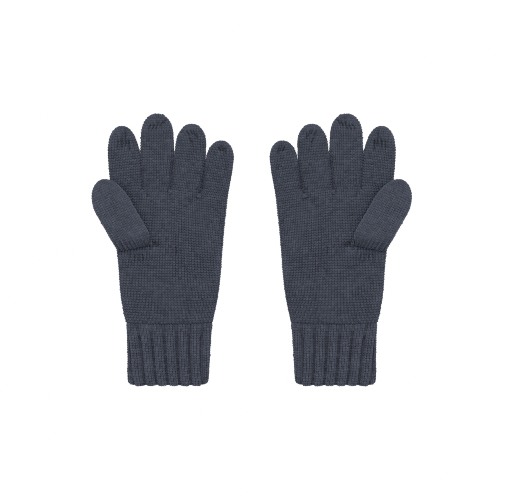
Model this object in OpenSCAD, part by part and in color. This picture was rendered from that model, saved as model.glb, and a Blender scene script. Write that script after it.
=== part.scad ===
// A pair of knitted gloves lying flat, palms up and thumbs outward.
// Units are millimetres. X runs across the pair, Y from the cuffs to the fingertips, Z up.
// The left glove is drawn in its own frame, with X = 0 on the middle line of its cuff and
// Y = 0 at the folded cuff edge, and the right glove is its mirror image.

/* [Pair] */

// distance from the middle of the pair to the middle line of each cuff
glove_offset = 77.9; // [74:0.1:110]
// length of a glove from the folded cuff edge to the middle fingertip
glove_length = 254; // [240:1:270]

/* [Fabric] */

// thickness of the jersey fabric
jersey = 2; // [1.5:0.1:3]
// thickness of one ply of the ribbed cuff
rib_ply = 1.6; // [1.2:0.1:2.2]
// height of the palm above the table
palm_height = 13.9; // [11:0.1:16]
// clearance between pieces that meet
gap = 0.3; // [0.1:0.1:0.6]

/* [Cuff] */

// length of the cuff from its fold to the linking seam
cuff_length = 58.6; // [40:0.1:90]
// half width of the cuff near its fold
cuff_fold_half = 37.6; // [30:0.1:45]
// half width of the cuff at the linking seam
cuff_seam_half = 39.4; // [32:0.1:48]
// number of ribs all the way round
ribs = 14; // [10:1:24]
// depth of the valleys between the ribs
rib_depth = 1.1; // [0.4:0.1:1.6]
// space between the two plies of the cuff
ply_space = 0.6; // [0.3:0.1:1]

/* [Fingers] */

// height of the fingers above the table
finger_height = 13.3; // [9:0.1:15]
// length of the index finger from its bend line to its closed tip
index_length = 47.2; // [38:0.1:60]
// length of the middle finger from its bend line to its closed tip
middle_length = 59.2; // [45:0.1:70]
// length of the ring finger from its bend line to its closed tip
ring_length = 49.7; // [38:0.1:60]
// length of the little finger from its bend line to its closed tip
little_length = 38.6; // [30:0.1:48]
// half width of the index finger
index_half = 14.3; // [10:0.1:14.6]
// half width of the middle finger
middle_half = 14.2; // [10:0.1:14.2]
// half width of the ring finger
ring_half = 13.8; // [10:0.1:13.9]
// half width of the little finger
little_half = 12.4; // [9:0.1:12.5]

/* [Thumb] */

// length of the thumb from its base seam to its closed tip
thumb_length = 72; // [55:0.1:75]
// half width of the thumb
thumb_half = 18; // [14:0.1:19]
// height of the thumb above the palm
thumb_height = 10.6; // [8:0.1:14]
// lean of the thumb to the outside of the hand, in degrees
thumb_lean = 27; // [20:0.5:35]
// tilt of the base seam across the palm, in degrees
seam_tilt = 11.7; // [5:0.1:20]

/* [Hidden] */

finger_sides = 18;
hand_sides = 32;
rib_steps = [0, 0.25, 0.42, 0.5, 0.58, 0.75];
seam_y = cuff_length + 0.6;
// hand outline: distance from the fold, left edge, right edge
hand_outline = [
  [seam_y + 0.6, -39.4, 41.2], [65, -40.6, 42], [76, -42.8, 44.2], [92, -44.5, 46.4],
  [108, -45.7, 48.2], [124, -47.6, 49.5], [145, -49.6, 51.3], [164, -52, 53.3],
  [180, -53.6, 55],
];
// the crotch line runs across the hand a little lower on the little finger's side
crotch_slope = -0.0495;
// bend line of each finger: X, Y, lean to the left in degrees
index_bend = [-39, 196, 5.3];
middle_bend = [-9.75, 194.8, 0.5];
ring_bend = [18.4, 194.8, -4.1];
little_bend = [45.1, 190.7, -6.8];
// middle of the thumb's base seam
thumb_base = [-28.3, 129.5];
// heights of the flat fabric layers
thumb_floor = palm_height + gap;

// ---- shapes shared by the pieces ----

// signed power, which makes a circle into a rounded flat section
function flatten(v, e) = sign(v) * pow(abs(v), 2 / e);

// section of n points: half width w, half height h, middle height z, squareness e
function section(n, w, h, z, e) =
  [for (i = [0:n - 1]) [w * flatten(cos(360 * i / n), e), z + h * flatten(sin(360 * i / n), e)]];

// triangles between ring a and ring b of n points each
function band(a, b, n) = [
  for (i = [0:n - 1]) let (j = (i + 1) % n)
    each [[a * n + i, b * n + i, b * n + j], [a * n + i, b * n + j, a * n + j]]
];

// closed solid through a list of rings, with flat ends
module skin(rings) {
  n = len(rings[0]);
  k = len(rings);
  polyhedron(
    points = [for (r = rings) each r],
    faces = concat(
      [for (a = [0:k - 2]) each band(a, a + 1, n)],
      [[for (i = [0:n - 1]) i]],
      [[for (i = [n - 1:-1:0]) (k - 1) * n + i]]
    )
  );
}

// solid through rings whose last ring joins the first
module loop(rings) {
  n = len(rings[0]);
  k = len(rings);
  polyhedron(
    points = [for (r = rings) each r],
    faces = [for (a = [0:k - 1]) each band(a, (a + 1) % k, n)]
  );
}

function backwards(list) = [for (i = [len(list) - 1:-1:0]) list[i]];

// ---- fingers ----

// how much of its full width a fingertip keeps, u being how far along its rounded end
function rounding(u) = sqrt(1 - u * u);

// ring across a finger: bend line b, distance t along it, half width w, half height h
function finger_ring(b, t, w, h, z) = [
  for (p = section(finger_sides, w, h, z, 2.5))
    [b[0] - sin(b[2]) * t + cos(b[2]) * p[0], b[1] + cos(b[2]) * t + sin(b[2]) * p[0],
      max(p[1], 0)]
];

// rings from the bend line to the closed tip, in being how far inside the outer face they run
function finger_rings(b, length, half, in) =
  let (
    tube = length - 1.1 - in, round_off = 20 - in / 2, w = half - in,
    h = finger_height / 2 - in, z = finger_height / 2 + 0.05
  )
  concat(
    [for (s = [0, 0.5]) finger_ring(b, gap / 2 + s * (tube - round_off), w, h, z)],
    [for (u = [0, 0.36, 0.62, 0.82, 0.93, 0.98])
      let (k = rounding(u), m = pow(k, 0.6))
        finger_ring(b, tube - round_off * (1 - u), w * k, h * m, z - (1 - m) * 1.6)]
  );

module finger(b, length, half)
  color("#40444f")
    skin(concat(backwards(finger_rings(b, length, half, 0)), finger_rings(b, length, half, jersey)));

// drawn yarn ring that gathers a fingertip
module closure(b, length, z)
  color("#2e313a")
    translate([b[0] - sin(b[2]) * (length - 0.55), b[1] + cos(b[2]) * (length - 0.55), z])
      rotate([90, 0, b[2]])
        rotate_extrude() translate([1.35, 0]) circle(r = 0.5, $fn = 32);

module finger_closure(b, length) closure(b, length, finger_height / 2 - 0.8);

// ---- hand ----

// ring across the hand at a station of its outline, in being how far inside the outer face it runs
function hand_ring(s, in, slope, dy) =
  let (half = (s[2] - s[1]) / 2 - in, mid = (s[1] + s[2]) / 2)
  [for (p = section(hand_sides, half, palm_height / 2 + 0.2 - in, palm_height / 2 - 0.2, 3))
    [mid + p[0], s[0] + dy + slope * (mid + p[0]), max(p[1], in == 0 ? 0 : p[1])]];

function hand_rings(in, dy0, dy1) =
  let (k = len(hand_outline) - 1)
  [for (i = [0:k]) hand_ring(hand_outline[i], in, crotch_slope * pow(i / k, 2),
    i == 0 ? dy0 : i == k ? dy1 : 0)];

// short tube from inside the hand to a finger's bend line, in being how far inside the outer face
// it runs and out how far it runs past the bend line
module root(b, half, in, out)
  skin([for (s = [[out, 0], [-8, 0], [-14, 0.7], [-23, 2.6]])
    finger_ring(b, s[0], half - s[1] - in, finger_height / 2 - s[1] / 4 - in, finger_height / 2 + 0.05)]);

module roots(in, out) {
  root(index_bend, index_half, in, out);
  root(middle_bend, middle_half - 0.4, in, out);
  root(ring_bend, ring_half, in, out);
  root(little_bend, little_half, in, out);
}

// moves to the thumb's base seam, with X along the seam and Y away from the cuff
module at_seam() translate([thumb_base[0], thumb_base[1], 0]) rotate(seam_tilt) children();

module hand()
  color("#40444f")
    difference() {
      union() {
        skin(backwards(hand_rings(0, 0, 0)));
        roots(0, -gap / 2);
      }
      skin(backwards(hand_rings(jersey, -1, -jersey)));
      roots(jersey, 1);
      // opening into the thumb
      at_seam() translate([-11, 5, palm_height - 4]) cube([22, 15, 6]);
      // bed of the thumb seam
      at_seam() translate([-18.6, -0.9, palm_height - 0.7]) cube([37.2, 1.8, 2]);
      crotch_knots(1.7);
    }

module crotch_knots(r) {
  translate([-23.2, 183.2, finger_height - 2.2]) sphere(r = r, $fn = 32);
  translate([4.1, 182, finger_height - 2.2]) sphere(r = r, $fn = 32);
  translate([31.2, 180.6, finger_height - 2.2]) sphere(r = r, $fn = 32);
}

module crotch_stitches() color("#2e313a") crotch_knots(1.5);

module thumb_seam()
  color("#2e313a")
    at_seam() translate([-18, 0, palm_height + 0.05]) rotate([0, 90, 0]) cylinder(h = 36, r = 0.65, $fn = 32);

// ---- thumb ----

// ring across the thumb: its root follows the base seam and its tip is square to its own length
function thumb_ring(t, w, h, z, shift) =
  let (skew = tan(seam_tilt - thumb_lean) * (1 - t / thumb_length))
  [for (p = section(finger_sides, w, h, z, 2.6))
    let (s = p[0] + shift, r = t + skew * s)
      [thumb_base[0] - sin(thumb_lean) * r + cos(thumb_lean) * s,
        thumb_base[1] + cos(thumb_lean) * r + sin(thumb_lean) * s, p[1]]];

// rings from the base seam to the closed tip, in being how far inside the outer face they run
function thumb_rings(in) =
  let (tube = thumb_length - 1.1 - in, round_off = 26 - in / 2, top = thumb_height / 2)
  concat(
    [for (s = [[1.6, 0.42], [6, 0.72], [14, 1], [34, 1]])
      thumb_ring(s[0] + (s[0] < 2 ? in * 1.2 : 0), thumb_half - in, top * s[1] - in * (s[0] < 2 ? 0.7 : 1),
        thumb_floor + top * s[1], 0)],
    [for (u = [0, 0.36, 0.62, 0.82, 0.93, 0.98])
      let (k = rounding(u), m = pow(k, 0.6))
        thumb_ring(tube - round_off * (1 - u), (thumb_half - in) * k, (top - in) * m,
          thumb_floor + top - (1 - m) * 1.6, -1.2 * (0.3 + u))]
  );

module thumb()
  color("#454955")
    difference() {
      skin(backwards(thumb_rings(0)));
      skin(backwards(thumb_rings(jersey)));
      at_seam() translate([-11, 5, thumb_floor - 1]) cube([22, 15, jersey + 2]);
    }

module thumb_closure()
  closure([thumb_base[0] + cos(thumb_lean) * -1.6, thumb_base[1] + sin(thumb_lean) * -1.6, thumb_lean],
    thumb_length, thumb_floor + thumb_height / 2 - 0.8);

// ---- cuff ----

// point and outward direction at distance p round a flat section with round ends
function around(p, w, h) =
  let (a = w - h, c = PI * h, q = p - floor(p / (4 * a + 2 * c)) * (4 * a + 2 * c))
    q < a ? [q, h, 0, 1]
    : q < a + c ? let (t = (q - a) / h * 180 / PI) [a + h * sin(t), h * cos(t), sin(t), cos(t)]
    : q < 3 * a + c ? [2 * a + c - q, -h, 0, -1]
    : q < 3 * a + 2 * c ? let (t = (q - 3 * a - c) / h * 180 / PI)
        [-a - h * sin(t), -h * cos(t), -sin(t), -cos(t)]
    : [q - 4 * a - 2 * c, h, 0, 1];

// height of the ribs, f being the place within one rib
function rib(f) = pow(abs(cos(180 * f)), 0.6);

// ring round the cuff at distance y from the fold, in being how far inside the crests it runs
function cuff_ring(y, in, depth, scallop = 0) =
  let (
    w = cuff_fold_half + (cuff_seam_half - cuff_fold_half) * y / cuff_length - rib_depth,
    h = palm_height / 2 + 0.35 - rib_depth, turn = 4 * (w - h) + 2 * PI * h
  )
  [for (i = [0:ribs - 1], f = rib_steps)
    let (q = around((i + f) * turn / ribs + 1.4, w, h), o = depth * rib(f) + rib_depth - depth - in)
      [q[0] + q[2] * o, y + scallop * (1 - rib(f)),
        in < rib_ply ? max(palm_height / 2 + q[1] + q[3] * o, 0) : palm_height / 2 + q[1] + q[3] * o]];

module cuff()
  color("#3f434e")
    loop([
      cuff_ring(0, 2.2, 0.5, 0.6), cuff_ring(0.9, 1, rib_depth), cuff_ring(3.4, 0, rib_depth),
      cuff_ring(cuff_length, 0, rib_depth),
      cuff_ring(cuff_length, rib_ply, rib_depth),
      cuff_ring(3.6, rib_ply, rib_depth),
      cuff_ring(3.6, rib_ply + ply_space, rib_depth),
      cuff_ring(cuff_length, rib_ply + ply_space, rib_depth),
      cuff_ring(cuff_length, 2 * rib_ply + ply_space, rib_depth / 2),
      cuff_ring(1.4, 2 * rib_ply + ply_space, rib_depth / 2),
    ]);

// linking stitches: a round yarn that follows the wall of the hand tube
module cuff_seam()
  color("#2e313a")
    loop([for (a = [300:-60:0])
      [for (p = section(hand_sides, 39.2 + 0.55 * cos(a), palm_height / 2 - 1 + 0.55 * cos(a),
        palm_height / 2 - 0.2, 3)) [0.5 + p[0], seam_y + 0.55 * sin(a), max(p[1], 0)]]]);

// ---- the pieces ----

module left_glove() translate([-glove_offset, -glove_length / 2, 0]) children();
module right_glove() mirror([1, 0, 0]) left_glove() children();

module left_hand() left_glove() hand();
module left_cuff() left_glove() cuff();
module left_cuff_seam() left_glove() cuff_seam();
module left_thumb_seam() left_glove() thumb_seam();
module left_crotch_stitches() left_glove() crotch_stitches();
module left_index_finger() left_glove() finger(index_bend, index_length, index_half);
module left_middle_finger() left_glove() finger(middle_bend, middle_length, middle_half);
module left_ring_finger() left_glove() finger(ring_bend, ring_length, ring_half);
module left_little_finger() left_glove() finger(little_bend, little_length, little_half);
module left_thumb() left_glove() thumb();
module left_index_closure() left_glove() finger_closure(index_bend, index_length);
module left_middle_closure() left_glove() finger_closure(middle_bend, middle_length);
module left_ring_closure() left_glove() finger_closure(ring_bend, ring_length);
module left_little_closure() left_glove() finger_closure(little_bend, little_length);
module left_thumb_closure() left_glove() thumb_closure();

module right_hand() right_glove() hand();
module right_cuff() right_glove() cuff();
module right_cuff_seam() right_glove() cuff_seam();
module right_thumb_seam() right_glove() thumb_seam();
module right_crotch_stitches() right_glove() crotch_stitches();
module right_index_finger() right_glove() finger(index_bend, index_length, index_half);
module right_middle_finger() right_glove() finger(middle_bend, middle_length, middle_half);
module right_ring_finger() right_glove() finger(ring_bend, ring_length, ring_half);
module right_little_finger() right_glove() finger(little_bend, little_length, little_half);
module right_thumb() right_glove() thumb();
module right_index_closure() right_glove() finger_closure(index_bend, index_length);
module right_middle_closure() right_glove() finger_closure(middle_bend, middle_length);
module right_ring_closure() right_glove() finger_closure(ring_bend, ring_length);
module right_little_closure() right_glove() finger_closure(little_bend, little_length);
module right_thumb_closure() right_glove() thumb_closure();

left_hand();
left_cuff();
left_cuff_seam();
left_thumb_seam();
left_crotch_stitches();
left_index_finger();
left_middle_finger();
left_ring_finger();
left_little_finger();
left_thumb();
left_index_closure();
left_middle_closure();
left_ring_closure();
left_little_closure();
left_thumb_closure();
right_hand();
right_cuff();
right_cuff_seam();
right_thumb_seam();
right_crotch_stitches();
right_index_finger();
right_middle_finger();
right_ring_finger();
right_little_finger();
right_thumb();
right_index_closure();
right_middle_closure();
right_ring_closure();
right_little_closure();
right_thumb_closure();
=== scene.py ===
"""A pair of knitted gloves, stitch by stitch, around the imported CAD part.

Every tube is one grid of stitches: q counts wales (stitch columns) round the tube and r counts
courses (stitch rows) along it. A "place" function puts (q, r) on the soft shape of the tube, and
the stitches are then raised from that surface as V-shaped loops of yarn. The glove is drawn in
millimetres in its own frame (x = 0 on the cuff's middle line, y = 0 at the folded cuff edge,
z = 0 on the table), and moved into the row frame when its meshes are made. The right glove is
the left one's mirror image.
"""

import math

import bpy
import numpy as np
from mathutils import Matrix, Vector


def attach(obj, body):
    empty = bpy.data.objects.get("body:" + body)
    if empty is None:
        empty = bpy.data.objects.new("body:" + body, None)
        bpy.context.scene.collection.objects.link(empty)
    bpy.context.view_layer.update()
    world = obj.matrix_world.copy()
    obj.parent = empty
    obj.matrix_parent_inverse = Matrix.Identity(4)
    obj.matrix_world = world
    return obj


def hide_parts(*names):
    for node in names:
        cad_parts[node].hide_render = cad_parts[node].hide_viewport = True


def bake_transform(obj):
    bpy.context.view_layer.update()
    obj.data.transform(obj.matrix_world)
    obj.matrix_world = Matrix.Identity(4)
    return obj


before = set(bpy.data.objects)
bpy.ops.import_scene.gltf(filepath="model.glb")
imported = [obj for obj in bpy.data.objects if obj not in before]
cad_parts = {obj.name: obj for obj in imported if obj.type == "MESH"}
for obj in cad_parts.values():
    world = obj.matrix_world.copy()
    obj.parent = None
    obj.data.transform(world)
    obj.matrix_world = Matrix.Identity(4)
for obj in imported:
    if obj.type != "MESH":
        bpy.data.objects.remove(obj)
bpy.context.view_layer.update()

OFFSET = 77.9  # middle of the pair to the middle line of a cuff
LENGTH = 254.0  # folded cuff edge to middle fingertip
FABRIC = 0.9  # base surface to the inside of the fabric
RELIEF = 1.15  # base surface to the top of a stitch
LINK_Y = 58.4  # linking seam between cuff and hand, at the middle
LINK_SMILE = 1.5  # how much higher the seam is at the sides
COURSE = 2.42  # height of one row of stitches
WALES = 68  # stitches round the hand
TIP_END = math.radians(86)  # how far round a tip the courses go before they are drawn together
TIP_FLATNESS = 0.62  # a tip's height falls as this power of its width
PULL_PITCH = 3.7  # distance between the little folds along a seam


# ---------------------------------------------------------------- small helpers


def ease(t):
    """From 0 to 1 with a soft start and a soft end."""
    t = np.clip(t, 0, 1)
    return t * t * (3 - 2 * t)


def mix(a, b, t):
    """a at t = 0 and b at t = 1."""
    return a + (b - a) * t


def smoothed(xs, ys, spread):
    """A soft curve through rough points, as a function."""
    step, reach = 0.5, 30
    x = np.arange(xs[0] - 20, xs[-1] + 20, step)
    slope0 = (ys[1] - ys[0]) / (xs[1] - xs[0])
    slope1 = (ys[-1] - ys[-2]) / (xs[-1] - xs[-2])
    y = np.interp(x, xs, ys)
    y = np.where(x < xs[0], ys[0] + slope0 * (x - xs[0]), y)
    y = np.where(x > xs[-1], ys[-1] + slope1 * (x - xs[-1]), y)
    k = np.exp(-0.5 * (np.arange(-reach, reach + 1) * step / spread) ** 2)
    padded = np.pad(y, reach, mode="reflect", reflect_type="odd")
    y = np.convolve(padded, k / k.sum(), mode="valid")
    return lambda v: np.interp(v, x, y)


def soft_noise(x, y, size, seed):
    """Smooth random height between -1 and 1 with bumps about size apart."""
    cells = 64
    table = np.random.default_rng(seed).uniform(-1, 1, (cells, cells))
    u, v = np.asarray(x) / size + 31.7, np.asarray(y) / size + 17.3
    i, j = np.floor(u).astype(int), np.floor(v).astype(int)
    fu, fv = ease(u - i), ease(v - j)
    i0, i1, j0, j1 = i % cells, (i + 1) % cells, j % cells, (j + 1) % cells
    return mix(
        mix(table[i0, j0], table[i1, j0], fu), mix(table[i0, j1], table[i1, j1], fu), fv
    )


def section(ratio, squareness):
    """Upper half of a flat rounded section by equal steps along it: s from 0 (left edge) to
    1 (right edge) gives (x, z), with x from -1 to 1 and z from 0 to 1."""
    a = np.linspace(math.pi, 0, 1441)
    x = np.sign(np.cos(a)) * np.abs(np.cos(a)) ** (2 / squareness)
    z = np.abs(np.sin(a)) ** (2 / squareness)
    step = np.hypot(np.diff(x) * ratio, np.diff(z))
    s = np.concatenate([[0], np.cumsum(step)])
    s /= s[-1]
    return lambda v: (np.interp(v, s, x), np.interp(v, s, z))


def halves(f):
    """f runs once round a tube from its left edge over the top. Gives the place along the upper
    or lower half, 0 left to 1 right, and which half it is, +1 upper or -1 lower."""
    f = np.mod(f, 1.0)
    top = f <= 0.5
    return np.where(top, 2 * f, 2 - 2 * f), np.where(top, 1.0, -1.0)


# ---------------------------------------------------------------- soft shape of the hand

left_edge = smoothed(
    [56, 60, 66, 72, 82, 93, 108, 123, 145, 160, 181],
    [-37.8, -39.0, -40.8, -42.0, -43.6, -44.7, -45.6, -47.0, -49.1, -50.7, -53.0],
    2.5,
)
right_edge = smoothed(
    [56, 60, 66, 72, 82, 93, 108, 123, 145, 160, 175, 181],
    [39.9, 41.1, 42.4, 43.7, 45.8, 47.3, 48.9, 49.9, 51.7, 53.4, 55.0, 55.3],
    2.5,
)
SQUARENESS = 2.7  # of the section of the palm and the fingers: 2 is an ellipse
hand_section = section(7.5, SQUARENESS)
HAND_COURSES = 50  # from the linking seam to the crotches
HAND_BOTTOM = 0.95  # height of the underside of the base surface
PALM_HALF = 5.65  # half height of the palm
# the hand's last row, where the fingers begin: wale, x and y at the sides and at the crotches
CROTCH_WALE = [0, 10, 18, 26, 34]
CROTCH_X = [-53.0, -24.0, 2.0, 29.0, 54.4]
CROTCH_Y = [181.3, 181.3, 181.3, 177.5, 174.0]
SEAM_BASE = np.array([-28.3, 129.5])  # middle of the thumb's base seam
SEAM_TILT = math.radians(11.7)
SEAM_HALF = 19.0  # half length of the seam
THUMB_LEAN = math.radians(27)


def seam_drop(along):
    """The thumb's base seam droops a little at its inner end."""
    return -2.2 * ease((along - 9) / 10)


def seam_frame(x, y):
    """(along the thumb's base seam, up from it towards the fingertips)"""
    dx, dy = x - SEAM_BASE[0], y - SEAM_BASE[1]
    c, s = math.cos(SEAM_TILT), math.sin(SEAM_TILT)
    along = dx * c + dy * s
    return along, -dx * s + dy * c - seam_drop(along)


def on_seam(along):
    """1 along the thumb's base seam, falling to 0 past its ends."""
    return ease((SEAM_HALF + 2.5 - np.abs(along)) / 4)


def thumb_frame(x, y):
    """(across the thumb, along the thumb from its base)"""
    dx, dy = x - SEAM_BASE[0], y - SEAM_BASE[1]
    c, s = math.cos(THUMB_LEAN), math.sin(THUMB_LEAN)
    return dx * c + dy * s, -dx * s + dy * c


def groove(x, y, x0, y0, x1, y1, width):
    """1 on the line between two points, falling to 0 at about its width to both sides."""
    dx, dy = x1 - x0, y1 - y0
    t = np.clip(((x - x0) * dx + (y - y0) * dy) / (dx * dx + dy * dy), 0, 1)
    gap = np.hypot(x - x0 - t * dx, y - y0 - t * dy)
    return np.exp(-((gap / width) ** 2))


# places painted lighter, painted highlights where the fabric catches the light: x, y, half width,
# half height, how much lighter
PAINTED_LIGHTS = [
    (46.5, 112.0, 4.5, 13.0, 1.3),
    (-37.5, 78.0, 5.0, 13.0, 0.6),
    (-48.5, 235.5, 5.5, 7.5, 1.0),
    (23.0, 241.5, 7.0, 4.0, 0.5),
    (45.0, 224.0, 4.0, 5.0, 0.5),
]


def painted_light(x, y):
    """How much lighter the listed places are painted: painted highlights."""
    return sum(
        much * np.exp(-(((x - cx) / wide) ** 2) - (((y - cy) / high) ** 2))
        for cx, cy, wide, high, much in PAINTED_LIGHTS
    )


def pulls(along, seed):
    """Uneven little folds that run away from a seam, 0 to 1."""
    wobble = along + 1.1 * soft_noise(along, along * 0, 5, seed)
    return 0.5 + 0.5 * np.cos(2 * math.pi * wobble / PULL_PITCH)


# short pulled stitches on the palm: x, y of the upper end, x, y of the lower end, half width, depth
PALM_PULLS = [
    (-30.4, 122.0, -30.8, 117.4, 0.8, 1.0),
    (-27.0, 121.6, -26.6, 116.4, 0.9, 1.2),
    (-23.6, 122.6, -23.2, 117.6, 0.8, 1.0),
    (-34.8, 122.0, -35.4, 118.4, 0.7, 0.7),
    (8.0, 128.6, 8.2, 122.4, 0.8, 1.1),
    (11.4, 127.0, 11.8, 123.4, 0.7, 0.7),
    (-19.4, 187.5, -18.6, 176.0, 0.9, 1.4),
    (-22.4, 186.0, -24.6, 178.6, 0.7, 0.9),
    (28.8, 180.0, 27.6, 173.6, 0.8, 0.9),
    (-12.6, 134.6, -9.6, 131.0, 1.0, 0.8),
    (-14.8, 135.6, -12.6, 131.6, 0.9, 0.7),
    (-10.0, 134.4, -7.2, 132.2, 0.8, 0.4),
]


def palm_pulls(x, y):
    """Depth of the short pulled stitches."""
    depth = sum(d * groove(x, y, x0, y0, x1, y1, w) for x0, y0, x1, y1, w, d in PALM_PULLS)
    return np.minimum(depth, 1.2)


def palm_relief(x, y):
    """How far the palm stands above its plain section: swells, seam pulls and dimples."""
    z = 0.55 * soft_noise(x, y, 21, 3) + 0.35 * soft_noise(x, y * 0.5, 9, 4)
    z += 0.22 * soft_noise(x, y * 0.35, 4.5, 5)
    along, up = seam_frame(x, y)
    here = on_seam(along)
    z -= here * 2.6 * np.exp(-((up / 2.3) ** 2))
    below = np.where(up < 0, np.exp(up / 5.5), 0) * (1 - np.exp(-((up / 1.2) ** 2)))
    z -= here * below * 1.8 * pulls(along, 8)
    z += here * 1.2 * np.exp(-(((up + 8) / 5.5) ** 2))
    z -= 1.3 * palm_pulls(x, y)
    s, t = thumb_frame(x, y)
    within = ease((19 - np.abs(s + 1)) / 6)
    under_thumb = within * ease((t + 0.27 * s - 1) / 5) * ease((74 - t) / 8)
    z -= 1.5 * under_thumb
    for cx, cy in zip(CROTCH_X[1:4], CROTCH_Y[1:4]):
        r = np.hypot(x - cx, (y - cy) * 0.75)
        z -= 2.6 * np.exp(-((r / 3.4) ** 2)) + 0.7 * np.exp(-((r / 8.0) ** 2))
    return z


def palm_top(x, y):
    """Height of the palm's surface."""
    xl, xr = left_edge(y), right_edge(y)
    cx = np.clip(2 * (x - xl) / (xr - xl) - 1, -1, 1)
    cz = (1 - np.abs(cx) ** SQUARENESS) ** (1 / SQUARENESS)
    return HAND_BOTTOM + PALM_HALF * (1 + cz) + palm_relief(x, y) * cz**2


def palm_shade(q, r, p):
    """Painted shade (deeper tone) where the palm is drawn into its seams, painted highlights in the
    listed places.
    """
    x, y = p[..., 0], p[..., 1]
    along, up = seam_frame(x, y)
    here = on_seam(along)
    # painted shade in the crease of the thumb's base seam
    tone = -0.8 * here * np.exp(-((up / 1.8) ** 2))
    # the hand's first course painted a little lighter and its edge row darker: a painted highlight
    # on the hem and the painted shadow line under it
    tone += 0.4 * np.exp(-(((r - 1.0) / 0.5) ** 2)) - 1.8 * np.exp(-((r / 0.3) ** 2))
    # painted shade in the puckers below the thumb's seam
    tone -= 0.6 * here * pulls(along, 8) * np.where(up < 0, np.exp(up / 4.0), 0)
    # painted shade in the pulled stitches
    tone -= 2.3 * palm_pulls(x, y)
    # a broad patch below the ring and little fingers painted darker
    tone -= 0.5 * np.exp(-(((x - 27) / 13) ** 2) - (((y - 167) / 10) ** 2))
    # painted shade at the crotches between the fingers
    for cx, cy in zip(CROTCH_X[1:4], CROTCH_Y[1:4]):
        tone -= 1.3 * np.exp(-((np.hypot(x - cx, (y - cy) * 0.6) / 2.2) ** 2))
    s, side = halves(q / WALES)
    facing = ease(np.sin(math.pi * s) * 3) * (side > 0)
    # the painted shade only on the upper face, the painted highlights added on top
    return tone * facing + painted_light(x, y) * (p[..., 2] > HAND_BOTTOM + 4)


def place_hand(q, r):
    """From the linking seam at r = 0 to the crotches at r = HAND_COURSES."""
    s, side = halves(q / WALES)
    cx, cz = hand_section(s)
    qf = s * WALES / 2
    along = np.clip(r / HAND_COURSES, 0, 1.02)
    y0 = LINK_Y + LINK_SMILE * cx**2
    y1 = np.interp(qf, CROTCH_WALE, CROTCH_Y)
    y = mix(y0, y1, along)
    xl, xr = left_edge(y), right_edge(y)
    x = mix(xl, xr, (cx + 1) / 2)
    crotch_cx, _ = hand_section(np.array(CROTCH_WALE) * 2 / WALES)
    natural = mix(CROTCH_X[0], CROTCH_X[4], (crotch_cx + 1) / 2)
    x = x + np.interp(qf, CROTCH_WALE, np.array(CROTCH_X) - natural) * along**2
    half = PALM_HALF - 0.55 * np.exp(-(((y - LINK_Y) / 0.9) ** 2))
    bulge = 0.6 * np.exp(-(((y - LINK_Y - 5.5) / 3.2) ** 2))
    top = HAND_BOTTOM + half + (half + bulge) * cz + palm_relief(x, y) * cz**2
    low = HAND_BOTTOM + half - half * np.minimum(1, cz * 1.12)
    low = low + (0.35 * (1 + soft_noise(x, y, 17, 31))) * cz
    z = np.where(side > 0, top, low)
    return np.stack([x, y, z], -1)


# ---------------------------------------------------------------- soft shape of the fingers

ROOT_BLEND = 9  # length in which a finger turns from the hand's last row into its own section
CREASE_WIDTH = 0.62


def tip_profile(length, rounding, half, height, power):
    """Number of courses of a tube with a rounded tip, and the course, the distance along the
    tube and the share of its full width kept, at points down its surface."""
    phi = np.linspace(0, TIP_END, 200)
    straight = np.linspace(0, length - rounding, 120)[:-1]
    d = np.concatenate([straight, length - rounding + rounding * np.sin(phi)])
    k = np.concatenate([np.ones(len(straight)), np.cos(phi) ** power])
    arc = np.concatenate([[0], np.cumsum(np.hypot(np.diff(d), np.diff(k) * (half + height) / 2))])
    courses = int(round(arc[-1] / COURSE))
    return courses, arc / arc[-1] * courses, d, k


def tip_pleats(q, near, seed):
    """Pleats where a tip is drawn together: near is 1 at the tip and 0 away from it."""
    odd = 0.6 + 0.4 * soft_noise(q, q * 0, 2.2, seed)
    return -near * odd * 0.75 * (0.5 - 0.5 * np.cos(math.pi * q))


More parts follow.
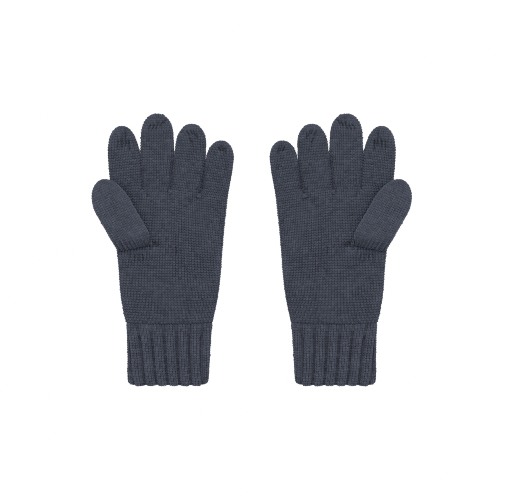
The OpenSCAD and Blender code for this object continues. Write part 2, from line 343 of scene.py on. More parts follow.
class Finger:
    """One finger tube, from the crotch line to its gathered tip. It takes front wales of the
    hand's last row from wale first on, the same on the back, and left and right wales on the
    walls between the fingers."""

    def __init__(self, first, front, left, right, press, tip, lean, half, rounding, height, seed):
        self.first, self.front, self.left, self.right = first, front, left, right
        self.press = press  # how far each side is swollen towards its neighbour
        self.wales = 2 * front + left + right
        self.seed = seed
        lean = math.radians(lean)
        self.dir = np.array([-math.sin(lean), math.cos(lean)])
        self.across = np.array([math.cos(lean), math.sin(lean)])
        self.tip = np.array(tip, float)
        root = place_hand(np.array([first, first + front], float), np.full(2, float(HAND_COURSES)))
        middle = root[:, :2].mean(0)
        self.length = float((self.tip - middle) @ self.dir)
        self.start = self.tip - self.dir * self.length
        self.root_s = (root[:, :2] - self.start) @ self.across
        self.half, self.height = half, height
        self.section = section(half / height, SQUARENESS)
        self.courses, steps, d, k = tip_profile(self.length, rounding, half, height, 0.9)
        self.profile = lambda r: (
            np.where(r < 0, r * COURSE, np.interp(r, steps, d)),
            np.interp(r, steps, k),
        )

    def root(self, q):
        """The row the finger starts from: the hand's last row, and straight walls across it."""
        f, n = self.front, WALES
        a, b = self.first, self.first + self.front
        q = np.mod(q, self.wales)
        q1, q2, q3 = f, f + self.right, 2 * f + self.right
        hand_q = np.where(q <= q1, a + q, np.where(q >= q3, n - a, n - b + (q - q2)))
        hand_q = np.where((q > q1) & (q < q2), b, hand_q)
        full = np.full(np.shape(q), float(HAND_COURSES))
        p = place_hand(hand_q, full)
        walls = [
            (self.right, q1, b, n - b, (q > q1) & (q < q2)),
            (self.left, q3, n - a, a, q > q3),
        ]
        for wales, start, near, far, here in walls:
            if wales:
                t = np.clip((q - start) / wales, 0, 1)[..., None]
                from_p = place_hand(np.full_like(q, near), full)
                to_p = place_hand(np.full_like(q, far), full)
                p = np.where(here[..., None], mix(from_p, to_p, t), p)
        return p

    def place(self, q, r):
        """From the root at r = 0, turning into a plain flat tube, to the tip."""
        d, k = self.profile(r)
        s, side = halves((q + self.left / 2) / self.wales)
        cx, cz = self.section(s)
        grow = ease(d / (0.62 * self.length))
        swell = np.exp(-(((d / self.length - 0.43) / 0.2) ** 2))
        sl = mix(self.root_s[0], -self.half, grow) - self.press[0] * swell
        sr = mix(self.root_s[1], self.half, grow) + self.press[1] * swell
        across = mix(sl, sr, (cx + 1) / 2) * k
        m = k**TIP_FLATNESS
        h = self.height * m
        xy = self.start + self.dir * d[..., None] + self.across * across[..., None]
        x, y = xy[..., 0], xy[..., 1]
        ripple = 0.32 * soft_noise(x, y * 0.6, 8, self.seed)
        ripple = ripple + 0.3 * soft_noise(x, y, 17, self.seed + 1)
        low = HAND_BOTTOM + 0.9 * (1 - m) + h * (1 - np.minimum(1, 1.1 * cz)) + 0.15 * cz
        top = HAND_BOTTOM + 0.9 * (1 - m) + h * (1 + cz) + ripple * cz * k
        body = np.concatenate([xy, np.where(side > 0, top, low)[..., None]], -1)
        ahead = self.root(q)
        ahead = ahead + np.concatenate([self.dir, [0]]) * d[..., None]
        return mix(ahead, body, ease(d / ROOT_BLEND)[..., None])

    def touching(self, q, r):
        """1 along the sides that lie against the neighbouring fingers."""
        d, _ = self.profile(r)
        q = np.mod(q, self.wales)
        near = np.zeros(np.shape(q))
        if self.left:
            gap = np.minimum(np.abs(q - self.wales + self.left / 2), q + self.left / 2)
            near = near + np.exp(-((gap / (0.5 * self.left - 0.1)) ** 4))
        if self.right:
            gap = q - self.front - self.right / 2
            near = near + np.exp(-((gap / (0.5 * self.right - 0.1)) ** 4))
        return near * (1 - ease((d - 0.45 * self.length) / 10))

    def folds(self, q, r):
        """Short creases on the front of the fingertip."""
        p = self.place(q, r)
        x, y = p[..., 0], p[..., 1]
        depth = sum(groove(x, y, *ends, CREASE_WIDTH) for ends in self.creases)
        return depth * (np.mod(q, self.wales) <= self.front)

    def shape(self, q, r):
        """Pleats where the tip is drawn together, and creases."""
        near = ease((r - self.courses + 5.5) / 5.0)
        return tip_pleats(q, near, self.seed + 2) - 1.25 * self.folds(q, r)

    def shade(self, q, r, p):
        """Painted highlights in the listed places, painted shade between the fingers and in the
        creases.
        """
        light = painted_light(p[..., 0], p[..., 1])
        # painted shade on the sides that lie against the neighbouring fingers and in the tip's
        # creases
        return light - 2.2 * self.touching(q, r) - 2.7 * self.folds(q, r)


# first, front, left, right, press, tip, lean, half, rounding, height, seed
FINGERS = {
    "index": Finger(0, 10, 0, 2, (0.2, 1.2), (-44.1, 242.3), 5.7, 14.2, 28, 5.5, 41),
    "middle": Finger(10, 8, 3, 3, (1.2, 1.1), (-10.4, 253.8), 0.6, 14.6, 20, 5.5, 45),
    "ring": Finger(18, 8, 3, 3, (1.1, 0.8), (22.8, 244.2), -4.5, 13.7, 20, 5.5, 49),
    "little": Finger(26, 8, 4, 0, (0.8, 0.2), (50.5, 228.7), -7.4, 12.4, 18, 5.3, 53),
}
# short creases on the fronts of the fingertips: x, y of both ends
FINGERS["index"].creases = [
    (-39.4, 236.0, -39.2, 223.5),
    (-36.2, 229.0, -35.8, 220.5),
    (-42.6, 231.0, -42.8, 222.0),
    (-46.2, 227.5, -46.4, 222.5),
]
FINGERS["middle"].creases = [
    (-17.7, 239.4, -16.0, 243.2),
    (-14.7, 238.5, -12.6, 243.2),
    (-10.9, 239.4, -9.2, 244.0),
    (-7.0, 242.4, -4.9, 246.4),
    (-4.1, 244.0, -2.2, 247.4),
]
FINGERS["ring"].creases = [
    (17.6, 237.5, 20.2, 233.6),
    (20.8, 238.5, 23.0, 234.2),
    (23.6, 238.0, 25.4, 233.0),
    (26.6, 236.0, 27.4, 230.5),
    (19.8, 231.0, 22.4, 226.4),
]
FINGERS["little"].creases = [
    (47.2, 222.6, 49.2, 218.8),
    (50.0, 223.4, 51.6, 218.8),
    (52.8, 221.0, 53.8, 217.4),
]


# ---------------------------------------------------------------- soft shape of the thumb


class Thumb:
    """The thumb tube, folded flat on the palm. Its root follows the base seam."""

    wales, seed = 30, 61
    start = 0.5  # wales from its left edge to q = 0
    length, half, height, rounding = 70.7, 16.8, 4.9, 28
    floor = 13.3  # height of its underside, away from the seam

    def __init__(self):
        self.section = section(self.half / self.height, 2.5)
        self.dir = np.array([-math.sin(THUMB_LEAN), math.cos(THUMB_LEAN)])
        self.across = np.array([math.cos(THUMB_LEAN), math.sin(THUMB_LEAN)])
        profile = tip_profile(self.length, self.rounding, self.half, self.height, 1)
        self.courses, steps, d, k = profile
        self.profile = lambda r: (np.interp(r, steps, d), np.interp(r, steps, k))

    def place(self, q, r):
        """From the base seam at r = 0 to the tip, which droops beside the palm's edge."""
        d, k = self.profile(r)
        s, side = halves((q + self.start) / self.wales)
        cx, cz = self.section(s)
        middle = -0.8 - 2.1 * ease(d / 55)
        tucked = 1 - 0.34 * np.exp(-((d / 6.0) ** 2)) * ease(cx)
        across = middle + self.half * cx * k * tucked
        skew = math.tan(SEAM_TILT - THUMB_LEAN) * across * (1 - d / self.length)
        back = np.where(side < 0, 3.0 * cz, 0) * np.exp(-d / 9)
        xy = SEAM_BASE + self.dir * (d + skew + back)[..., None] + self.across * across[..., None]
        rise = 1 - np.exp(-d / 5.0)
        m = k**TIP_FLATNESS
        h = self.height * m * (0.12 + 0.88 * rise)
        x, y = xy[..., 0], xy[..., 1]
        floor = mix(palm_top(x, y) + 0.6, self.floor, ease(d / 13)) + 0.7 * (1 - m)
        over = x - left_edge(y)
        droop = 3.6 * ease(-(over - 6) / 26) * ease(d / 25)
        ripple = 0.4 * soft_noise(x, y, 15, self.seed)
        ripple = ripple + 0.3 * soft_noise(x, y * 0.7, 7, self.seed + 1)
        tucks = -4.6 * pulls(across, 12) * np.exp(-d / 5.5) * rise * cz
        top = floor + h * (1 + cz) + ripple * cz * rise * k + tucks
        low = floor + h * (1 - np.minimum(1, 1.1 * cz))
        z = np.where(side > 0, top, low) - droop
        return np.concatenate([xy, z[..., None]], -1)

    def shape(self, q, r):
        """Pleats where the tip is drawn together."""
        return tip_pleats(q, ease((r - self.courses + 6) / 5.5), self.seed + 2)

    def shade(self, q, r, p):
        """Painted lighter than the palm, a painted highlight for the light it catches, and painted
        shade where it is puckered into its seam.
        """
        d, _ = self.profile(r)
        s, side = halves((q + self.start) / self.wales)
        across = self.half * self.section(s)[0]
        fold = pulls(across, 12) ** 2
        deeper = 2.6 * fold * np.exp(-((d / 8.5) ** 2)) + 0.9 * np.exp(-((d / 2.6) ** 2))
        # 0.65: the whole thumb painted lighter; deeper: painted shade in the puckers on its upper
        #       face
        return 0.65 - (side > 0) * deeper


THUMB = Thumb()


# ---------------------------------------------------------------- soft shape of the cuff

RIBS, RIB_WALES = 14, 5  # ribs round the cuff, and wales from one rib to the next
CUFF_WALES = RIBS * RIB_WALES
CUFF_ROWS = 24  # courses in one ply
FOLD_ROWS = 2  # courses in the fold between the plies
PLY_HALF = 1.6  # half the distance between the plies
CUFF_HALF = 37.0  # half width at the fold
CUFF_HEIGHT = 5.9  # half height
CORNER_FROM, CORNER_WIDTH, CORNER_HEIGHT = 32.6, 4.4, 4.0  # rounded corners of the folded edge
RIB_DEPTH = 3.4
CUFF_PHASE = 1.65  # how far the ribs are turned from the cuff's left edge, in wales
cuff_section = section(6.0, 3.0)
cuff_half = smoothed([-2, 4, 30, 46, 60, 66], [36.8, 37.3, 38.5, 39.6, 40.7, 41.1], 3)
CUFF_SHIFT = 1.1  # the cuff's top is a little to the right of its fold


def rib_valley(q):
    """1 in the middle of a valley between two ribs, 0 on the ribs."""
    u = np.mod(q, RIB_WALES) - (RIB_WALES - 0.5)
    u = np.where(u < -RIB_WALES / 2, u + RIB_WALES, u)
    return np.exp(-((np.abs(u) / 1.05) ** 2.2))


def off_link(up):
    """0 at the linking seam and 1 from a third of the way down the cuff."""
    return ease((1 - up) * 3.2)


def place_cuff(q, r):
    """r runs down the outer ply, round the fold and up the inner ply."""
    turn = np.clip((r - CUFF_ROWS) / FOLD_ROWS, 0, 1)
    inner = ease(turn)
    up = np.where(
        r < CUFF_ROWS, 1 - r / CUFF_ROWS, np.maximum(r - CUFF_ROWS - FOLD_ROWS, 0) / CUFF_ROWS
    )
    twist = 0.55 * np.exp(-up / 0.14) - 1.9 * (up - 0.5)
    s, side = halves((q + CUFF_PHASE + twist) / CUFF_WALES)
    cx, cz = cuff_section(s)
    valley = rib_valley(q)
    corner = np.clip((np.abs(cx) * CUFF_HALF - CORNER_FROM) / CORNER_WIDTH, 0, 1)
    y_low = CORNER_HEIGHT * (1 - np.sqrt(np.clip(1 - corner**2, 0, 1)))
    y_low = y_low + 0.5 * valley + PLY_HALF + 0.6
    y_low = y_low + 0.25 * soft_noise(cx * CUFF_HALF, side, 12, 71)
    y_top = LINK_Y - 0.7 + LINK_SMILE * cx**2
    y = mix(y_low, y_top, up) - PLY_HALF * np.sin(math.pi * turn)
    offset = -PLY_HALF + PLY_HALF * np.cos(math.pi * turn)
    sink = np.where(r <= CUFF_ROWS, ease((1.1 - r) / 1.1) * 0.7, 0)
    fade = 0.12 + 0.88 * off_link(up)
    depth = RIB_DEPTH * fade * valley * (1 - 0.5 * inner) + sink
    depth = depth - 0.16 * soft_noise(cx * CUFF_HALF + side * 50, y * 0.5, 9, 72)
    w = cuff_half(y) + offset - depth
    h = CUFF_HEIGHT + offset - depth
    x = w * cx - 0.15 + (CUFF_SHIFT + 0.15) * y / LINK_Y
    middle = HAND_BOTTOM + 5.95
    z = middle + side * h * np.where(side < 0, np.minimum(1, cz * 1.05), cz)
    return np.stack([x, y, z], -1)


def cuff_shade(q, r, p):
    """The wales between the ribs and the linked edge lie in shadow."""
    up = 1 - np.clip(r / CUFF_ROWS, 0, 1)
    valley = -2.4 * rib_valley(q) * (0.5 + 0.5 * off_link(up))
    return valley - 1.6 * np.exp(-((r / 0.35) ** 2))


# ---------------------------------------------------------------- stitches

ROWS = np.array([0.0, 0.22, 0.55, 0.85])  # mesh rows within a course
LEG = np.array([0.38, 0.35, 0.29, 0.235])  # where the left leg of the V runs at each of them
RIDGE = np.array([0.0, 0.80, 1.0, 0.74])  # height of the legs
HALF_LEG = 0.11
BETWEEN = np.array([-0.5, 0.0, 0.1, -0.05])  # height between two wales
INSIDE = np.array([-0.2, 0.25, 0.05, -0.20])  # height inside the V
UNEVEN_TONE = 0.45  # how much the tone changes from stitch to stitch
RIM_HIGHLIGHT = 0.8  # painted highlight: how much lighter the fuzz is painted where the fabric turns away at the edges
DEEPEST_TONE = -3.5
SIDE_RELIEF = 0.34  # height of the stitches on the sides, as a share of the full height
FUZZ = 0.025


def stitches(wales, courses, seed, level, course_gap, wale_gap):
    """Grid of one tube: (q, r, height, tone), each with one row per mesh row and six columns a
    wale. level names the ends, (first, last), that are cut level along a row; the gaps are the
    heights between two courses and between two wales."""
    local = np.random.default_rng(seed)
    per_course = len(ROWS)
    rows = per_course * courses + 1
    b = np.tile(ROWS, courses + 1)[:rows]
    c = np.repeat(np.arange(courses + 1), per_course)[:rows]
    pick = np.arange(rows) % per_course

    def each(spread):
        """A random number for every stitch, the same on all its mesh rows."""
        return local.normal(0, spread, (courses + 1, wales))[c]

    leg = LEG[pick][:, None] + each(0.012)
    wale, course = np.meshgrid(np.arange(wales), c)
    course_gap = course_gap + 0.28 * soft_noise(wale, course, 5.5, seed + 1)
    wale_gap = wale_gap + 0.28 * soft_noise(wale, course, 6.5, seed + 2)
    first = (pick == 0)[:, None]
    ridge = RIDGE[pick][:, None] * (1 + each(0.13))
    ridge = ridge + first * course_gap
    uneven = each(0.10)
    zero = np.zeros_like(leg)
    part = np.stack(
        [
            zero,
            leg - HALF_LEG,
            leg + HALF_LEG,
            zero + 0.5,
            1 - leg - HALF_LEG,
            1 - leg + HALF_LEG,
        ],
        -1,
    )
    height = np.stack(
        [
            zero + BETWEEN[pick][:, None] + wale_gap + 0.5 * first * course_gap,
            ridge * (1 + uneven),
            ridge * (0.96 + uneven),
            zero + INSIDE[pick][:, None] + first * course_gap,
            ridge * (0.96 - uneven),
            ridge * (1 - uneven),
        ],
        -1,
    )
    columns = part.shape[-1]
    tone = np.repeat(each(1)[..., None], columns, -1)
    q = (np.arange(wales)[None, :, None] + part).reshape(rows, -1)
    chevron = 0.28 * (1 - np.abs(2 * np.mod(q, 1) - 1))
    inner = np.ones(rows)
    inner[0] = 1 - level[0]
    inner[-1] = 1 - level[1]
    shift = each(0.03)
    shift[0] = shift[-1] = 0
    shift = np.repeat(shift[..., None], columns, -1).reshape(rows, -1)
    r = (c + b)[:, None] - (chevron - shift) * inner[:, None]
    for end, row in zip(level, (0, -1)):
        if not end:
            height[row] = 0.55 * height[row] + 0.25
    drift = 0.10 * soft_noise(q, r * 0.35, 3.0, seed + 5)
    drift[0] = drift[-1] = 0
    return q + drift, r, height.reshape(rows, -1), tone.reshape(rows, -1)


def normals(place, q, r):
    """Unit normals of a placed surface."""
    e = 0.06
    du = place(q + e, r) - place(q - e, r)
    dv = place(q, r + e) - place(q, r - e)
    n = np.cross(du, dv)
    size = np.linalg.norm(n, axis=-1, keepdims=True)
    return n / np.maximum(size, 1e-9)


def blurred(n):
    """Normals averaged with their neighbours, so that a sharp fold doesn't cross stitches over."""
    for _ in range(2):
        m = n + 0.5 * (np.roll(n, 1, 1) + np.roll(n, -1, 1))
        up = np.concatenate([m[:1], m[:-1]])
        down = np.concatenate([m[1:], m[-1:]])
        m = m + 0.5 * (up + down)
        n = m / np.maximum(np.linalg.norm(m, axis=-1, keepdims=True), 1e-9)
    return n


def grid_faces(first, rows, cols):
    """Quads of a grid that closes round in its columns."""
    i = np.arange(rows - 1)[:, None] * cols
    j = np.arange(cols)[None, :]
    k = (j + 1) % cols
    return (first + np.stack([i + j, i + k, i + cols + k, i + cols + j], -1)).reshape(-1, 4)


def rim_faces(outer, inner):
    """Triangles between a fine ring of points and a coarser one."""
    n, m = len(outer), len(inner)
    per = n // m
    faces = []
    for i in range(n):
        faces.append((outer[i], outer[(i + 1) % n], inner[i // per]))
        if (i + 1) % per == 0:
            faces.append((outer[(i + 1) % n], inner[(i // per + 1) % m], inner[i // per]))
    return faces


def tube(
    wales,
    courses,
    place,
    seed,
    closed_tip,
    shade,
    depth_shade,
    relief=None,
    extra=None,
    step=3,
    fine=0,
    out=1,
    level=(1, 1),
    gaps=(0.0, -0.1),
    steep=0.0,
):
    """Fabric tube as (points, faces, tone): raised stitches outside and a plain face inside.
    relief(q, r) is the height of the stitches and extra(q, r) moves both faces. Stitches are
    lower on the sides and the back; steep keeps them full on sides that face the cuff. out is
    -1 where r runs down the tube. The plain face has a row every step courses, and two to a
    course in the first fine courses, where the tube bends."""
    q, r, height, tone = stitches(wales, courses, seed, level, *gaps)
    n = out * blurred(normals(place, q, r))
    calm = mix(SIDE_RELIEF, 1.0, ease(np.abs(n[..., 2]) / 0.55))
    calm = calm * (1 - 0.4 * ease(-n[..., 2] / 0.6))
    calm = mix(calm, 1.0, steep * ease(-n[..., 1] / 0.7))
    lift = height * calm * (RELIEF if relief is None else relief(q, r))
    if extra is not None:
        lift = lift + extra(q, r)
    fuzz = np.random.default_rng(seed + 9).normal(0, FUZZ, lift.shape)
    surface = place(q, r)
    outer = surface + n * (lift + fuzz)[..., None]
    rows, cols = q.shape
    picked = sorted({k / 2 for k in range(2 * fine)} | set(range(fine, courses, step)) | {courses})
    iq = np.tile(np.arange(wales * 2) / 2.0, (len(picked), 1))
    ir = np.tile(np.array(picked, float)[:, None], (1, wales * 2))
    inner_n = out * blurred(normals(place, iq, ir))
    inner = place(iq, ir) - inner_n * FABRIC
    if extra is not None:
        inner = inner + inner_n * extra(iq, ir)[..., None]
    points = [outer.reshape(-1, 3), inner.reshape(-1, 3)]
    base = rows * cols
    icols = wales * 2
    grids = [grid_faces(0, rows, cols), grid_faces(base, len(picked), icols)[:, ::-1]]
    faces = [tuple(f) for g in grids for f in g.tolist()]
    first_outer = list(range(cols))
    first_inner = [base + i for i in range(icols)]
    faces += [tuple(reversed(f)) for f in rim_faces(first_outer, first_inner)]
    last_outer = [(rows - 1) * cols + i for i in range(cols)]
    last_inner = [base + (len(picked) - 1) * icols + i for i in range(icols)]
    # painted highlight where the fabric turns away at the edges
    rim = 1 - ease(np.abs(n[..., 2]) / 0.7)
    # random tone from stitch to stitch, plus painted shade in the low parts of each stitch with
    # lighter tops
    tone = tone * UNEVEN_TONE + (height - 0.5) * depth_shade + RIM_HIGHLIGHT * rim
    tone = np.maximum(tone + shade(q, r, surface), DEEPEST_TONE)
    tones = np.concatenate([tone.reshape(-1), np.zeros(len(points[1]))])
    if closed_tip:
        centre = len(points[0]) + len(points[1])
        points.append(np.array([outer[-1].mean(0), inner[-1].mean(0)]))
        # the centre of the outer tip is painted a little darker: painted shade where the loops are
        # drawn together
        tones = np.concatenate([tones, [-0.5, 0.0]])
        faces += [(last_outer[i], last_outer[(i + 1) % cols], centre) for i in range(cols)]
        faces += [(last_inner[(i + 1) % icols], last_inner[i], centre + 1) for i in range(icols)]
    else:
        faces += rim_faces(last_outer, last_inner)
    if out < 0:
        faces = [tuple(reversed(f)) for f in faces]
    return np.concatenate(points), faces, tones


# ---------------------------------------------------------------- yarns


PLIES = 2
TWIST = 3.0  # length of yarn in which the plies turn once


def yarn(path, radius, closed, sides=10):
    """Twisted yarn along a path of points: (points, faces)."""
    path = np.asarray(path, float)
    n = len(path)
    if closed:
        tangent = np.roll(path, -1, 0) - np.roll(path, 1, 0)
    else:
        tangent = np.gradient(path, axis=0)
    tangent /= np.maximum(np.linalg.norm(tangent, axis=1, keepdims=True), 1e-9)
    up = np.zeros_like(path)
    v = np.array([0.0, 0.0, 1.0]) if abs(tangent[0, 2]) < 0.8 else np.array([1.0, 0, 0])
    for i in range(n):
        v = v - tangent[i] * (v @ tangent[i])
        v = v / max(np.linalg.norm(v), 1e-9)
        up[i] = v
    side = np.cross(tangent, up)
    length = np.concatenate([[0], np.cumsum(np.linalg.norm(np.diff(path, axis=0), axis=1))])
    turns = length[-1] / TWIST
    a = np.linspace(0, 2 * math.pi, sides, endpoint=False)[None, :]
    twist = (length / max(length[-1], 1e-9) * turns * 2 * math.pi)[:, None]
    rad = radius * (1 + 0.16 * np.cos(PLIES * (a - twist)))
    if not closed:
        ends = np.clip(np.minimum(length, length[-1] - length) / radius, 0, 1)
        rad = rad * np.sqrt(np.clip(1 - (1 - ends) ** 2, 0.02, 1))[:, None]
    out, over = (rad * np.cos(a))[..., None], (rad * np.sin(a))[..., None]
    pts = path[:, None] + up[:, None] * out + side[:, None] * over
    i = np.arange(n if closed else n - 1)[:, None]
    j = np.arange(sides)[None, :]
    i2, j2 = (i + 1) % n, (j + 1) % sides
    faces = np.stack([i * sides + j, i * sides + j2, i2 * sides + j2, i2 * sides + j], -1)
    faces = [tuple(f) for f in faces.reshape(-1, 4).tolist()]
    if not closed:
        faces.append(tuple(reversed(range(sides))))
        faces.append(tuple((n - 1) * sides + k for k in range(sides)))
    return pts.reshape(-1, 3), faces


def joined(parts, tone=-0.2):
    """One mesh of several yarns in one tone: (points, faces, tone)."""
    points, faces, at = [], [], 0
    for p, f in parts:
        points.append(p)
        faces += [tuple(k + at for k in face) for face in f]
        at += len(p)
    points = np.concatenate(points)
    return points, faces, np.full(len(points), tone)


def knot(centre, radius, seed):
    """A small pulled-tight knot."""
    t = np.linspace(0, 2 * math.pi, 64, endpoint=False)
    p = np.stack(
        [np.sin(t) + 2 * np.sin(2 * t), np.cos(t) - 2 * np.cos(2 * t), -1.6 * np.sin(3 * t)], -1
    ) / 3.0
    a = seed * 1.3
    turn = np.array([[math.cos(a), -math.sin(a), 0], [math.sin(a), math.cos(a), 0], [0, 0, 1]])
    return yarn(np.asarray(centre) + p @ turn.T * radius * 0.68, radius * 0.36, True)


def cuff_seam_mesh():
    """Linking stitches between the cuff and the hand."""
    n = WALES
    t = np.linspace(0, n, n * 8, endpoint=False)
    s, side = halves(t / n)
    cx, cz = cuff_section(s)
    beat = 0.5 * np.cos(2 * math.pi * t)
    flat = np.where(side < 0, np.minimum(1, 1.05 * cz), cz)
    x = (39.6 + 0.2 * beat) * cx + CUFF_SHIFT
    y = LINK_Y - 0.3 + LINK_SMILE * cx**2 + 0.15 * np.sin(2 * math.pi * t)
    z = HAND_BOTTOM + CUFF_HEIGHT + side * (5.15 + 0.25 * beat) * flat
    return joined([yarn(np.stack([x, y, z], -1), 0.5, True, sides=8)])


def thumb_seam_mesh():
    """Joining yarn that zigzags across the thumb's base seam."""
    pitch = 2.6
    t = np.linspace(-SEAM_HALF + 0.6, SEAM_HALF - 0.6, 210)
    swing = np.sin(2 * math.pi * t / pitch)
    c, s = math.cos(SEAM_TILT), math.sin(SEAM_TILT)
    up = 0.25 + 0.75 * swing + seam_drop(t)
    x = SEAM_BASE[0] + t * c - up * s
    y = SEAM_BASE[1] + t * s + up * c
    z = palm_top(x, y) + 0.7 + 0.35 * np.cos(4 * math.pi * t / pitch)
    return joined([yarn(np.stack([x, y, z], -1), 0.45, False)], 1.4)


def crotch_mesh():
    """Yarn that closes the crotches, from a knot on the palm down to the back."""
    parts = []
    t = np.linspace(0, 1, 50)
    coil = t * 22
    for k, (wale, x, y) in enumerate(zip(CROTCH_WALE[1:4], CROTCH_X[1:4], CROTCH_Y[1:4])):
        top = float(place_hand(np.array([float(wale)]), np.array([float(HAND_COURSES)]))[0, 2])
        parts.append(knot((x, y - 0.6, top + 1.5), 2.4, k))
        path = [x + 0.5 * np.sin(coil), y + 0.3 + 0.3 * np.cos(coil), mix(top + 0.3, 1.6, t)]
        parts.append(yarn(np.stack(path, -1), 0.5, False))
    return joined(parts, 3.4)


def closure_mesh(tube_shape, seed):
    """Yarn drawn through the last loops and knotted at a fingertip."""
    n = tube_shape.wales
    q = np.linspace(0, n, 72, endpoint=False)
    last = tube_shape.courses - 0.7
    ring = tube_shape.place(q, np.full_like(q, last))
    centre = ring.mean(0)
    ring = centre + (ring - centre) * (0.8 + 0.12 * np.cos(2 * math.pi * q / n * 7))[:, None]
    ring[:, :2] += tube_shape.dir * 0.15
    end = centre.copy()
    end[:2] += tube_shape.dir * 0.35
    return joined([yarn(ring, 0.36, True, sides=8), knot(end, 0.75, seed)])


# ---------------------------------------------------------------- meshes and materials


def make(name, data, flip, material):
    """Mesh object in the row frame, mirrored where flip is set."""
    points, faces, tone = data
    p = np.array(points, float)
    x = p[:, 0] - OFFSET
    p = np.stack([-x if flip else x, p[:, 1] - LENGTH / 2, p[:, 2]], -1) / 1000
    mesh = bpy.data.meshes.new(name)
    mesh.from_pydata(p.tolist(), [], [tuple(reversed(f)) for f in faces] if flip else faces)
    mesh.polygons.foreach_set("use_smooth", [True] * len(mesh.polygons))
    shade = mesh.attributes.new("tone", "FLOAT", "POINT")
    shade.data.foreach_set("value", np.asarray(tone, np.float32))
    mesh.materials.append(material)
    mesh.update()
    obj = bpy.data.objects.new(name, mesh)
    bpy.context.scene.collection.objects.link(obj)
    return obj


TONE_SPREAD = 0.22  # how much lighter one step of tone is


def wool(name, colour):
    """Matte twisted wool: even dyed colour, times the tone, which varies at random from stitch to
    stitch and carries the painted shade and painted highlights, lighter on the tops of the
    stitches; soft fibres.
    """
    m = bpy.data.materials.new(name)
    m.use_nodes = True
    nodes, links = m.node_tree.nodes, m.node_tree.links

    def new(kind, **values):
        node = nodes.new(kind)
        for key, value in values.items():
            node.inputs[key.replace("_", " ")].default_value = value
        return node

    def noise(scale, detail):
        node = new("ShaderNodeTexNoise", Scale=scale, Detail=detail)
        links.new(place.outputs["Object"], node.inputs["Vector"])
        return node.outputs["Fac"]

    def around_one(value, change):
        node = new(
            "ShaderNodeMapRange", From_Min=0.3, From_Max=0.7, To_Min=1 - change, To_Max=1 + change
        )
        links.new(value, node.inputs["Value"])
        return node.outputs["Result"]

    def times(a, b):
        node = nodes.new("ShaderNodeMath")
        node.operation = "MULTIPLY"
        links.new(a, node.inputs[0])
        links.new(b, node.inputs[1])
        return node.outputs[0]

    shader = nodes["Principled BSDF"]
    shader.inputs["Roughness"].default_value = 0.92
    shader.inputs["Specular IOR Level"].default_value = 0.12
    shader.inputs["Sheen Weight"].default_value = 0.34
    shader.inputs["Sheen Roughness"].default_value = 0.5
    shader.inputs["Sheen Tint"].default_value = (0.56, 0.61, 0.84, 1)
    place = nodes.new("ShaderNodeTexCoord")
    fibres, cloud = noise(1400, 3), noise(90, 2)
    tone = nodes.new("ShaderNodeAttribute")
    tone.attribute_name = "tone"
    amount = nodes.new("ShaderNodeMath")
    amount.operation = "MULTIPLY_ADD"
    amount.inputs[1].default_value = TONE_SPREAD
    amount.inputs[2].default_value = 1.0
    links.new(tone.outputs["Fac"], amount.inputs[0])
    factor = times(amount.outputs[0], around_one(fibres, 0.14))
    factor = times(factor, around_one(cloud, 0.07))
    scale = nodes.new("ShaderNodeVectorMath")
    scale.operation = "SCALE"
    scale.inputs[0].default_value = colour
    links.new(factor, scale.inputs["Scale"])
    links.new(scale.outputs["Vector"], shader.inputs["Base Color"])
    bump = new("ShaderNodeBump", Strength=0.5, Distance=0.0002)
    links.new(fibres, bump.inputs["Height"])
    links.new(bump.outputs["Normal"], shader.inputs["Normal"])
    return m


JERSEY = wool("jersey_wool", (0.0554, 0.0628, 0.0850))
RIB = wool("rib_wool", (0.0636, 0.0712, 0.0972))
# the seam yarn is painted darker than the knit: painted shade for the crease and gathers it lies in
SEAM = wool("seam_wool", (0.033, 0.038, 0.053))


# ---------------------------------------------------------------- the pieces


hand_data = tube(
    WALES,
    HAND_COURSES,
    place_hand,
    seed=101,
    closed_tip=False,
    shade=palm_shade,
    depth_shade=1.55,
    step=1,
    level=(1, 0),
)
finger_data = {
    name: tube(
        f.wales,
        f.courses,
        f.place,
        seed=200 + 7 * i,
        closed_tip=True,
        shade=f.shade,
        depth_shade=1.1,
        extra=f.shape,
        fine=10,
        level=(0, 1),
        gaps=(0.1, -0.1),
    )
    for i, (name, f) in enumerate(FINGERS.items())
}
thumb_data = tube(
    THUMB.wales,
    THUMB.courses,
    THUMB.place,
    seed=301,
    closed_tip=True,
    shade=THUMB.shade,
    depth_shade=1.1,
    relief=lambda q, r: RELIEF * 0.75,
    extra=THUMB.shape,
    fine=10,
    gaps=(0.22, -0.15),
    steep=1.0,
)
cuff_data = tube(
    CUFF_WALES,
    2 * CUFF_ROWS + FOLD_ROWS,
    place_cuff,
    seed=401,
    closed_tip=False,
    shade=cuff_shade,
    depth_shade=1.7,
    relief=lambda q, r: RELIEF * 0.9 * (1 - 0.65 * rib_valley(q)),
    out=-1,
    gaps=(0.25, -0.45),
)
seam_data = {
    "cuff_seam": cuff_seam_mesh(),
    "thumb_seam": thumb_seam_mesh(),
    "crotch_stitches": crotch_mesh(),
}
closure_data = {name: closure_mesh(f, i) for i, (name, f) in enumerate(FINGERS.items())}
closure_data["thumb"] = closure_mesh(THUMB, 5)

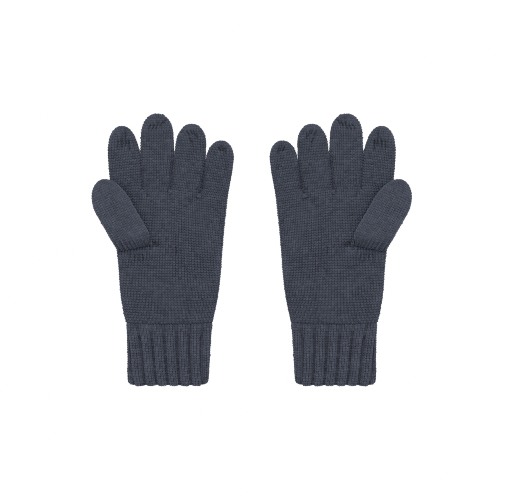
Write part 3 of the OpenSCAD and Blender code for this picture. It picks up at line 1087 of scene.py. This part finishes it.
for side in ("left", "right"):
    glove = side + "_glove"

    def piece(node, data, material, slot):
        """One object in place of a part node."""
        kind = "yarn" if slot == "seam_yarn" else "knit"
        obj = make(f"{side}_{node}_{kind}", data, side == "right", material)
        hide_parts(f"{side}_{node}")
        return obj

    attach(piece("hand", hand_data, JERSEY, "jersey_knit"), glove)
    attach(piece("cuff", cuff_data, RIB, "rib_knit"), glove)
    for name, data in seam_data.items():
        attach(piece(name, data, SEAM, "seam_yarn"), glove)
    for name, f in FINGERS.items():
        finger = piece(name + "_finger", finger_data[name], JERSEY, "jersey_knit")
        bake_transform(finger)
        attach(piece(name + "_closure", closure_data[name], SEAM, "seam_yarn"), f"{side}_{name}")
    thumb = piece("thumb", thumb_data, JERSEY, "jersey_knit")
    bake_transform(thumb)
    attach(piece("thumb_closure", closure_data["thumb"], SEAM, "seam_yarn"), side + "_thumb_body")


# ---------------------------------------------------------------- table, light and camera

scene = bpy.context.scene

TABLE_HALF = 3.0
corners = [(-1, -1), (1, -1), (1, 1), (-1, 1)]
floor_mesh = bpy.data.meshes.new("table")
floor_mesh.from_pydata(
    [(x * TABLE_HALF, y * TABLE_HALF, 0) for x, y in corners], [], [(0, 1, 2, 3)]
)
floor = bpy.data.objects.new("table", floor_mesh)
scene.collection.objects.link(floor)
white = bpy.data.materials.new("table_white")
white.use_nodes = True
glow = white.node_tree.nodes.new("ShaderNodeEmission")
glow.inputs["Color"].default_value = (1, 1, 1, 1)
glow.inputs["Strength"].default_value = 1.0
links = white.node_tree.links
links.new(glow.outputs[0], white.node_tree.nodes["Material Output"].inputs["Surface"])
floor_mesh.materials.append(white)

world = bpy.data.worlds.new("studio")
scene.world = world
world.use_nodes = True
nodes, links = world.node_tree.nodes, world.node_tree.links
backdrop = nodes["Background"]
backdrop.inputs["Color"].default_value = (1, 1, 1, 1)
backdrop.inputs["Strength"].default_value = 1.0
ambient = nodes.new("ShaderNodeBackground")
ambient.inputs["Color"].default_value = (1, 1, 1, 1)
ambient.inputs["Strength"].default_value = 0.72
seen = nodes.new("ShaderNodeLightPath")
choose = nodes.new("ShaderNodeMixShader")
links.new(seen.outputs["Is Camera Ray"], choose.inputs[0])
links.new(ambient.outputs[0], choose.inputs[1])
links.new(backdrop.outputs[0], choose.inputs[2])
links.new(choose.outputs[0], nodes["World Output"].inputs["Surface"])


def sun(name, direction, power, spread):
    """A sun that shines from this direction, spread degrees wide."""
    light = bpy.data.lights.new(name, "SUN")
    light.energy, light.angle = power, math.radians(spread)
    obj = bpy.data.objects.new(name, light)
    obj.rotation_euler = (-Vector(direction)).to_track_quat("-Z", "Y").to_euler()
    scene.collection.objects.link(obj)
    return obj


sun("key_light", (0.0, 1.0, 1.15), 1.35, 35)
sun("fill_light", (0.0, -0.5, 1.0), 0.3, 60)

VIEW_WIDTH = 0.4697  # width seen at the height of the gloves
VIEW_HEIGHT = 0.01  # that height above the table
LENS, SENSOR = 100, 36

camera_data = bpy.data.cameras.new("camera")
camera = bpy.data.objects.new("camera", camera_data)
scene.collection.objects.link(camera)
camera_data.type = "PERSP"
camera_data.lens = LENS
camera_data.sensor_width = SENSOR
camera.location = (0.0007, -0.0002, VIEW_WIDTH * LENS / SENSOR + VIEW_HEIGHT)
camera.rotation_euler = (0, 0, 0)
scene.camera = camera

scene.render.engine = "CYCLES"
scene.render.resolution_x = 1010
scene.render.resolution_y = 1000
scene.view_settings.view_transform = "Standard"
scene.view_settings.look = "None"
scene.cycles.use_denoising = False
scene.cycles.filter_width = 1.0
